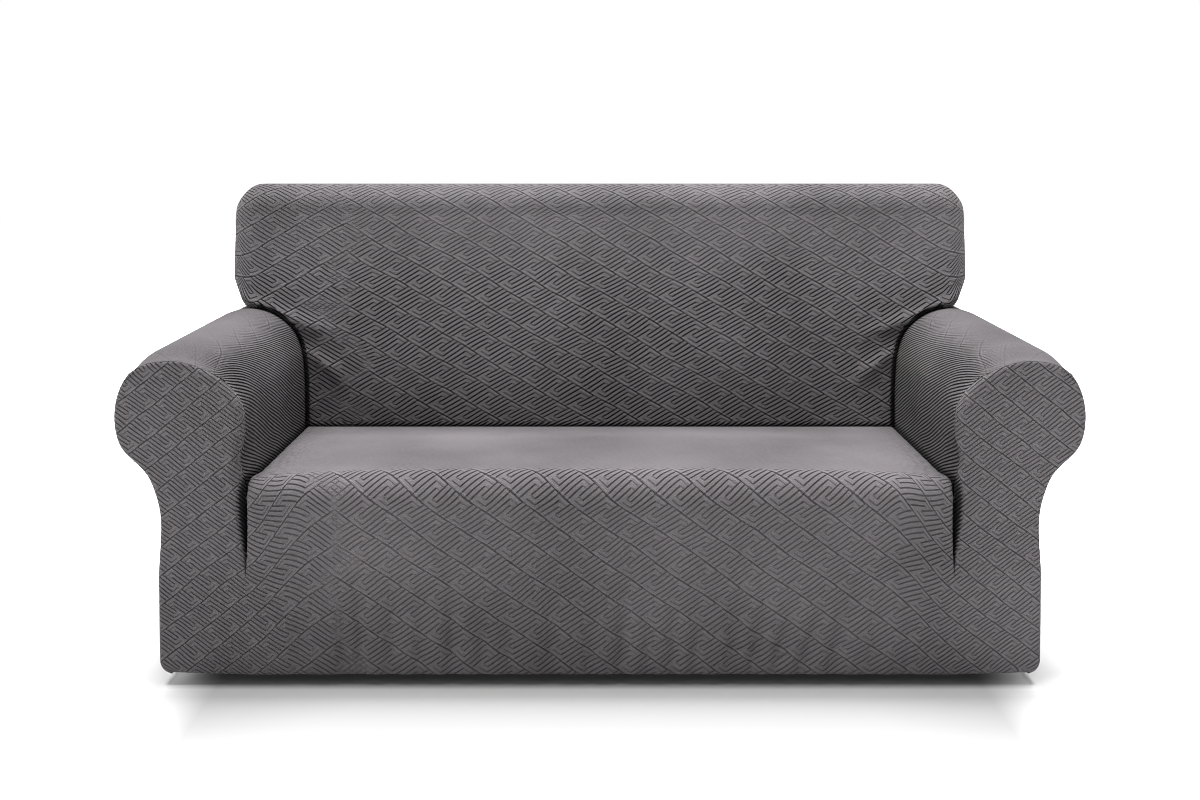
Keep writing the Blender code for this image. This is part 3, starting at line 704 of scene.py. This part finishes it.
def crevice(along, y, angle=0.0):
    """Points where the back meets the arm: above it, round the bend, and in along it by the flange."""
    turn = math.sin(angle) ** 2
    height = CREVICE + (WING_FOOT_HEIGHT - CREVICE) * turn
    depth = CREVICE + (WING_FOOT_DEPTH - CREVICE) * turn
    lifts = [*(height * (1 - np.sin(BEND))), 0.0]
    depths = [*(depth * (1 - np.cos(BEND))), depth + FLANGE]
    rows = []
    for lift, into in zip(lifts, depths):
        place = along - into * math.sin(angle)
        rows.append(arm_surface(place, y + into * math.cos(angle), lift + TUCK_GAP, upright=True))
    return np.stack(rows)


def on_back(points):
    """These points with their y on the back's front."""
    x, z = points[..., 0], points[..., 2]
    return np.stack([x, back_face_y(x, z), z], axis=-1)


def back_outline(angle, foot, top_x):
    """The back's outline from the arm up to the middle of its top, with the way out of it.

    angle is 0 on the back's front and 90 degrees on its sides. top_x holds the columns along its top.
    """
    top = HEIGHT - BACK_ROUND
    z = np.linspace(foot[2], top, BACK_ROWS, endpoint=False)
    turn = np.linspace(0, math.pi / 2, CORNER_STEPS + 1)
    bend = np.stack([np.cos(turn), np.sin(turn)], axis=-1)
    corner = np.array([WING_X - BACK_ROUND, top]) + BACK_ROUND * bend
    across = np.stack([top_x, np.full_like(top_x, HEIGHT)], axis=-1)
    outline = np.concatenate([np.stack([np.full_like(z, WING_X), z], axis=-1), corner, across])
    way = np.concatenate([np.tile([1.0, 0.0], (BACK_ROWS, 1)), bend, np.tile([0.0, 1.0], (len(top_x), 1))])
    outline = outline - way * BACK_ROUND * (1 - math.sin(angle))
    outline[0] = foot[::2]
    return outline, way


def back_side(meet, top_x):
    """The right half of the back's rounded edge, side and top, from its front to its rear seam.

    meet is where its front, its side and the arm meet. It returns the grid, and its outline with the way
    out of it. The first two columns are the flange that lies on the arm.
    """
    rows = []
    for angle in np.linspace(0, math.pi / 2, BACK_ROUND_STEPS + 1):
        depth = BACK_ROUND * (1 - math.cos(angle))
        low = crevice(wing_foot(angle), meet[1] + depth, angle)
        if not rows:
            low[0] = meet
        outline, way = back_outline(angle, low[0], top_x)
        if not rows:
            face_y = back_face_y(outline[:, 0], outline[:, 1])
        upper = np.stack([outline[:, 0], face_y + depth, outline[:, 1]], axis=-1)
        rows.append(np.concatenate([low[:0:-1], upper]))
    edge = rows[-1]
    bend_way = np.stack([np.cos(BEND), -np.sin(BEND)], axis=-1)[:0:-1]
    way = np.concatenate([[(0.0, -1.0)], bend_way, way])
    rear = to_rear(edge, edge[:, ::2], way, BACK_SIDE_ROWS)
    return np.concatenate([rows[:-1], rear]), edge[:, ::2], way


def back_columns():
    """Where the back's front meets the arm along the arm's section, and the columns of the back's top."""
    beside = section_steps("tucked edge", "inner shoulder")
    over = section_steps("inner shoulder", "upper slope")
    over = np.concatenate([over, np.linspace(over[-1], wing_foot(0.0), 2 * FINE + 1)[1:]])
    along = np.concatenate([beside, over[1:]])
    meet = on_back(crevice(along, np.full_like(along, 0.15))[0])
    shoulder_x = meet[len(beside) - 1, 0]
    outer_x = np.linspace(WING_X - BACK_ROUND, shoulder_x, len(over))[1:]
    middle_x = np.linspace(shoulder_x, 0.0, BACK_COLUMNS // 2 + 1)[1:]
    return along, meet, len(beside) - 1, np.concatenate([outer_x, middle_x])


def inner_back():
    """The piece over the front, sides and top of the back, tucked behind the seat and beside the arms."""
    along, meet, shoulder, top_x = back_columns()
    tucked = crevice(along, meet[:, 1])
    tucked[0] = meet
    side, _, way = back_side(meet[-1], top_x)

    upper_z = np.linspace(meet[shoulder, 2], HEIGHT - BACK_ROUND, BACK_ROWS + 1)
    half = np.concatenate([meet[:shoulder, 0], np.full_like(upper_z, meet[shoulder, 0])])
    z = np.concatenate([meet[:shoulder, 2], upper_z])[:, None]
    x = half[:, None] * np.linspace(-1, 1, BACK_COLUMNS + 1)
    middle = on_back(np.stack([x, 0 * x, z + 0 * x], axis=-1))

    bottom = meet[shoulder:]
    left = middle[shoulder:, -1]
    first = len(BEND)
    right = side[0, first : first + 1 + BACK_ROWS]
    wing = on_back(blended_patch(bottom, np.linspace(left[-1], right[-1], len(bottom)), left, right))
    straight_rows = BACK_ROUND_STEPS + BACK_SIDE_ROWS

    slope = math.hypot(1.0, BACK_RAKE)
    stretch = np.array([1.0, slope])
    flat_side = run_from(side[0, :, ::2] * stretch, side, way)
    outwards = np.stack([np.ones_like(along), np.zeros_like(along)], axis=-1)
    flat_tucked = run_from(meet[:, ::2] * stretch, tucked, outwards)
    halves = [
        (wing, wing[..., ::2] * stretch, False),
        # Painted shade: the cloth tucked in beside the arms is drawn dark.
        (tucked, tucked_in_with_shade(flat_tucked, np.minimum(np.arange(len(tucked)), 1)[:, None]), True),
        (side[:straight_rows, :2], flat_side[:straight_rows, :2], True),
        (side[:, 1:], flat_side[:, 1:], True),
    ]
    patches = [(middle, middle[..., ::2] * stretch, False)]
    patches += [both for one in halves for both in both_sides(*one)]
    return [(grid, back_weave(flat), flipped) for grid, flat, flipped in patches]


def outer_back():
    """The plain rear panel, sewn along the arms, the back's sides and its top."""
    _, meet, _, top_x = back_columns()
    _, outline, way = back_side(meet[-1], top_x)
    beside_arm = np.append(section_steps("wing foot", "hem edge")[::-1], knot("wing foot") - NOTCH)
    arm_edge, arm_way = arm_section(beside_arm, np.ones_like(beside_arm))
    notch = outline[1:2] - np.array([NOTCH, 0.0])
    last = len(BEND) + BACK_ROWS + CORNER_STEPS
    rear_x = np.linspace(outline[last, 0], 0.0, REAR_TOP_STEPS + 1)[1:]
    top = np.stack([rear_x, np.full_like(rear_x, HEIGHT)], axis=-1)
    edge = np.concatenate([arm_edge, notch, outline[1 : last + 1], top])
    ways = np.concatenate([arm_way, way[1:2], way[1 : last + 1], np.tile([0.0, 1.0], (len(top), 1))])
    rim = np.stack(rear_rim(edge, ways, np.linspace(0, 1, RIM_STEPS // 2 + 1), -1))

    corner = len(edge) - 1 - REAR_TOP_STEPS - CORNER_STEPS // 2
    right = rim[0, : corner + 1]
    half = rim[0, corner:]
    top_edge = np.concatenate([half * MIRROR, half[-2::-1]])
    bottom = np.linspace(right[0] * MIRROR, right[0], len(top_edge))
    panel = blended_patch(bottom, top_edge, right * MIRROR, right)
    patches = [(panel, panel[..., ::2], True), *both_sides(rim, rim[..., ::2])]
    seen = [(grid, flat[..., :2] * MIRROR[:2], flipped) for grid, flat, flipped in patches]
    return [(grid, back_weave(flat, REAR_TURN_X, NO_FOOT), flipped) for grid, flat, flipped in seen]


def cloth_piece(name, patches, node, material):
    """One sheet of cloth from patches that share their edges, in the place of its CAD node."""
    points, faces, weave = [], [], []
    count = 0
    for grid, places, flipped in patches:
        rows, columns = grid.shape[:2]
        index = count + np.arange(rows * columns).reshape(rows, columns)
        corners = (index[:-1, :-1], index[:-1, 1:], index[1:, 1:], index[1:, :-1])
        if flipped:
            corners = (corners[0], corners[3], corners[2], corners[1])
        faces.append(np.stack(corners, axis=-1).reshape(-1, 4))
        points.append(settled(grid).reshape(-1, 3))
        weave.append(places.reshape(-1, 4))
        count += rows * columns
    points, faces, weave = (np.concatenate(part) for part in (points, faces, weave))

    mesh = bpy.data.meshes.new(name)
    mesh.from_pydata(points.tolist(), [], faces.tolist())
    corners = weave[faces.ravel()].astype(np.float32)
    for layer, pair in (("Weave", corners[:, :2]), ("ReliefAndShade", corners[:, 2:])):
        mesh.uv_layers.new(name=layer).uv.foreach_set("vector", pair.ravel())
    shape = bmesh.new()
    shape.from_mesh(mesh)
    bmesh.ops.remove_doubles(shape, verts=shape.verts, dist=1e-5)
    shape.to_mesh(mesh)
    shape.free()
    mesh.shade_smooth()
    mesh.materials.append(material)
    piece = bpy.data.objects.new(name, mesh)
    bpy.context.scene.collection.objects.link(piece)
    thickness = piece.modifiers.new("cloth", "SOLIDIFY")
    thickness.thickness = CLOTH
    thickness.offset = -1.0
    thickness.use_quality_normals = True
    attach(piece, "root")
    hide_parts(node)


# ---- Materials ----
class Socket:
    """A node's output. Sums on it are written as in Python, and each adds its node."""

    def __init__(self, shading, output):
        self.shading = shading
        self.output = output

    def maths(self, operation, *others):
        sockets = dict(enumerate((self, *others)))
        return self.shading.node("ShaderNodeMath", {"operation": operation}, sockets)[0]

    def __add__(self, other):
        return self.maths("ADD", other)

    def __sub__(self, other):
        return self.maths("SUBTRACT", other)

    def __rsub__(self, other):
        return (self * -1) + other

    def __mul__(self, other):
        return self.maths("MULTIPLY", other)

    def __truediv__(self, other):
        return self.maths("DIVIDE", other)

    def __abs__(self):
        return self.maths("ABSOLUTE")

    __radd__ = __add__
    __rmul__ = __mul__

    def fraction(self):
        return self.maths("FRACT")

    def most(self, other):
        return self.maths("MAXIMUM", other)

    def held(self):
        """Held between 0 and 1."""
        return self.maths("MAXIMUM", 0.0).maths("MINIMUM", 1.0)


class Shading:
    """A material and its nodes."""

    def __init__(self, name):
        self.material = bpy.data.materials.new(name)
        self.material.use_nodes = True
        self.tree = self.material.node_tree
        self.surface = self.tree.nodes["Principled BSDF"]

    def node(self, kind, settings=None, sockets=None):
        """The outputs of a new node, with its settings and the values or links of its sockets."""
        made = self.tree.nodes.new(kind)
        for name, value in (settings or {}).items():
            setattr(made, name, value)
        self.fill(made, sockets or {})
        return [Socket(self, output) for output in made.outputs]

    def fill(self, made, sockets):
        for name, value in sockets.items():
            if isinstance(value, Socket):
                self.tree.links.new(value.output, made.inputs[name])
            else:
                made.inputs[name].default_value = value

    def finish(self, **sockets):
        """What the surface gets, by the names of its sockets with _ for their spaces."""
        self.fill(self.surface, {name.replace("_", " "): value for name, value in sockets.items()})
        return self.material


def near(place, middle, half, soft=0.08):
    """1 within half of the middle, and 0 a little past that."""
    return ((half + soft - abs(place - middle)) / (2 * soft)).held()


def between(place, low, high, soft=0.08):
    """1 from low to high."""
    middle = (low + high) / 2
    return near(place, middle, (high - low) / 2, soft)


def fret(x, y, ribbed, fine):
    """The weave's grooves and ridges: one fret in each lozenge. x and y count half lozenges.

    Where ribbed is 1 there are ribs alone. fine is how clear the thin grooves are beside the bold ones.
    """
    across = ((x - y) / 2).fraction() * 6
    up = ((x + y) / 2).fraction() * 6
    at_edge_across = abs(abs(across - 3) - 3)
    at_edge_up = abs(abs(up - 3) - 3)
    thick = between(across, 0.0, 4.0)
    half = 0.13
    grooves = near(up, 1, half) * between(across, 4, 6.2) * 0.6
    grooves = grooves.most(near(at_edge_across, 0, half) * between(up, 1, 6.2))
    grooves = grooves.most(near(up, 2, half) * between(across, 4, 5) * 0.45)
    grooves = grooves.most(near(across, 5, half) * between(up, 2, 6.2))
    grooves = grooves.most(near(across, 1, half) * between(up, -0.2, 6.2))
    grooves = grooves.most(near(across, 2, half) * between(up, -0.2, 5))
    grooves = grooves.most(near(up, 5, half) * between(across, 2, 4) * 0.45)
    grooves = grooves.most(near(across, 3, half) * between(up, -0.2, 4))
    grooves = grooves.most(near(up, 4, half) * between(across, 3, 3.8) * 0.4)
    grooves = grooves.most(near(across, 4, half) * between(up, 2.2, 6.2))
    grooves = grooves * (1 - near(at_edge_up, 0.42, 0.10) * thick * 0.6)
    bold = ((0.06 + thick * 0.05 + 0.08 - at_edge_up) / 0.16).held()
    frets = (grooves * fine).most(bold)
    ribs = near(abs(abs((across * 7 / 6).fraction() - 0.5) - 0.5), 0, 0.2, 0.15)
    ridge = near(up, 0.42, 0.10).most(near(up, 5.58, 0.10) * 0.7) * (0.4 + thick * 0.6) * (1 - ribbed)
    return frets + (ribs - frets) * ribbed, ridge


def jacquard():
    """The cloth. Its weave wanders a little and is all ribs where drawn together, and it is painted dark as
    shade in its pockets.
    """
    cloth = Shading("jacquard")

    def noise(vector, scale, detail):
        sockets = {"Vector": vector, "Scale": scale, "Detail": detail}
        return cloth.node("ShaderNodeTexNoise", sockets=sockets)[0] - 0.5

    weave = cloth.node("ShaderNodeUVMap", {"uv_map": "Weave"})[0]
    depth = cloth.node("ShaderNodeUVMap", {"uv_map": "ReliefAndShade"})[0]
    x, y, _ = cloth.node("ShaderNodeSeparateXYZ", sockets={0: weave})
    # The second map holds how clearly the weave stands out, then how ribbed the cloth is from 0 to 1 and,
    # past 1, how dark its painted pocket shade is.
    relief, ribs_and_painted_shade, _ = cloth.node("ShaderNodeSeparateXYZ", sockets={0: depth})
    ribbed = ribs_and_painted_shade.held()
    pocket_painted_shade = (ribs_and_painted_shade - 1).held()
    place = cloth.node("ShaderNodeTexCoord")[3]
    wander = noise(place, 5.0, 1.0)
    wander_up = noise(weave, 0.31, 1.0)
    y = y + wander_up * 0.5
    side = x + wander_up * 7
    run_on = (side * 0.9 + 0.5).held()
    turned = (0.5 - side * 0.9).held()
    fine = relief * 0.5 + 0.5
    grooves, ridge = fret(x + wander * 0.35, y, ribbed, fine)
    turned_grooves, turned_ridge = fret(wander * 0.35 - x, y, ribbed, fine)
    grooves = (grooves * run_on).most(turned_grooves * turned) * relief
    ridge = (ridge * run_on).most(turned_ridge * turned) * relief
    knit = noise(place, 420.0, 2.0)
    nap = noise(place, 3.2, 4.0)
    height = ridge * 0.9 - grooves * 2.4 + knit * 1.4
    # Grooves are darker, partly as the weave's pattern and partly as painted shade; ridges are lighter as a
    # painted highlight; ribbed parts, the arms' inner sides and tucks, are a little darker as painted
    # shade.
    tone = 0.99 + relief * 0.25 - grooves * 0.88 - ribbed * 0.14 + ridge * 0.36 + knit * 0.8 + nap * 1.1
    # Painted shade: tucked pockets, creases and seams are drawn much darker.
    tone = tone * (1 - pocket_painted_shade * 0.85)
    dyed = {0: CLOTH_COLOUR, "Scale": tone}
    colour = cloth.node("ShaderNodeVectorMath", {"operation": "SCALE"}, dyed)[0]
    raised = {"Strength": 1.0, "Distance": BUMP_DISTANCE, "Height": height}
    bump = cloth.node("ShaderNodeBump", sockets=raised)[0]
    return cloth.finish(
        Base_Color=colour,
        Roughness=0.9,
        Normal=bump,
        Sheen_Weight=0.04,
        Sheen_Roughness=0.5,
        Specular_IOR_Level=0.1,
    )


def studio_floor():
    """Pale, with painted shadow round the cover and deep painted shadow under it, less deep towards its
    ends. It also gives off faint painted light under the cover and by the ends of the hem.
    """
    floor = Shading("floor")
    x, y, _ = floor.node("ShaderNodeSeparateXYZ", sockets={0: floor.node("ShaderNodeTexCoord")[3]})
    far = abs(x)
    clear = ((far - 0.84) * 2).most(abs(y) - 0.443).most(0.0)
    at_hem = (clear / 0.02).held() * 0.28 - ((clear + 0.013) / 0.07).held() * 0.22
    further = ((clear - 0.2) / 0.4).held() * 0.2
    at_ends = ((far - 0.75) / 0.11).held() * 0.42
    # Painted shadow: the floor's colour is darker by the hem and under the cover, and lighter towards its
    # ends.
    shade = 0.35 + at_hem + further + at_ends
    end = ((far - 0.745) / 0.125).held()
    inside = ((0.425 - abs(y)) / 0.03).held()
    # Painted light: the floor shines faintly under the cover and more by the ends of the hem.
    painted_glow = end * end * (1 - (clear / 0.03).held()) * 0.36 + inside * 0.014
    colour, painted_glow_colour = (
        floor.node("ShaderNodeCombineXYZ", sockets={0: grey, 1: grey, 2: grey})[0] for grey in (shade, painted_glow)
    )
    return floor.finish(
        Base_Color=colour,
        Roughness=0.9,
        Specular_IOR_Level=0.0,
        Emission_Color=painted_glow_colour,
        Emission_Strength=1.0,
    )


def soft_light(name, strength, spread, lean):
    """Even light. lean is how far its source stands from straight overhead, to the right and the rear."""
    data = bpy.data.lights.new(name, "SUN")
    data.energy = strength
    data.angle = math.radians(spread)
    light = bpy.data.objects.new(name, data)
    light.location = (0.0, 0.0, 3.0)
    light.rotation_euler = (-math.radians(lean[1]), math.radians(lean[0]), 0.0)
    bpy.context.scene.collection.objects.link(light)


def soft_panel(name, power, size, place, tilt):
    """A lit panel. tilt turns it from facing down, at 0, to facing the rear, at 90 degrees."""
    data = bpy.data.lights.new(name, "AREA")
    data.energy = power
    data.shape = "RECTANGLE"
    data.size, data.size_y = size
    light = bpy.data.objects.new(name, data)
    light.location = place
    light.rotation_euler = (math.radians(tilt), 0.0, 0.0)
    bpy.context.scene.collection.objects.link(light)


def make_stage():
    """A pale floor with painted shadow and light, a little under the hem, and soft light, most of it from
    above.
    """
    size = 14.0
    mesh = bpy.data.meshes.new("floor")
    corners = [(-size, -size, 0.0), (size, -size, 0.0), (size, size, 0.0), (-size, size, 0.0)]
    mesh.from_pydata(corners, [], [(0, 1, 2, 3)])
    mesh.materials.append(studio_floor())
    floor = bpy.data.objects.new("floor", mesh)
    floor.location = (0.0, 0.0, -0.021)
    bpy.context.scene.collection.objects.link(floor)

    world = bpy.data.worlds.new("studio")
    world.use_nodes = True
    nodes, links = world.node_tree.nodes, world.node_tree.links
    seen = nodes.new("ShaderNodeLightPath")
    strength = nodes.new("ShaderNodeMapRange")
    strength.inputs["To Min"].default_value = 0.10
    strength.inputs["To Max"].default_value = 1.0
    links.new(seen.outputs["Is Camera Ray"], strength.inputs["Value"])
    links.new(strength.outputs[0], nodes["Background"].inputs["Strength"])
    nodes["Background"].inputs["Color"].default_value = (1.0, 1.0, 1.0, 1.0)
    bpy.context.scene.world = world

    soft_light("overhead", 6.0, 40.0, (0.0, 10.0))
    soft_light("side", 0.9, 25.0, (-58.0, -30.0))
    soft_panel("above_back", 18.0, (3.2, 0.3), (0.0, -0.1, 2.0), 10.0)
    soft_panel("low_front", 2.2, (2.4, 0.2), (0.0, -2.3, 0.12), 92.0)

    bpy.context.scene.cycles.filter_width = 0.9
    bpy.context.scene.view_settings.view_transform = "Standard"
    bpy.context.scene.view_settings.look = "None"


def main():
    make_camera()
    cloth = jacquard()
    right_arm = arm()
    left_arm = [(grid * MIRROR, places, not flipped) for grid, places, flipped in right_arm]
    cloth_piece("front_and_seat_cloth", front_and_seat(), "front_and_seat", cloth)
    cloth_piece("arm_left_cloth", left_arm, "arm_left", cloth)
    cloth_piece("arm_right_cloth", right_arm, "arm_right", cloth)
    cloth_piece("inner_back_cloth", inner_back(), "inner_back", cloth)
    cloth_piece("outer_back_cloth", outer_back(), "outer_back", cloth)
    make_stage()


main()
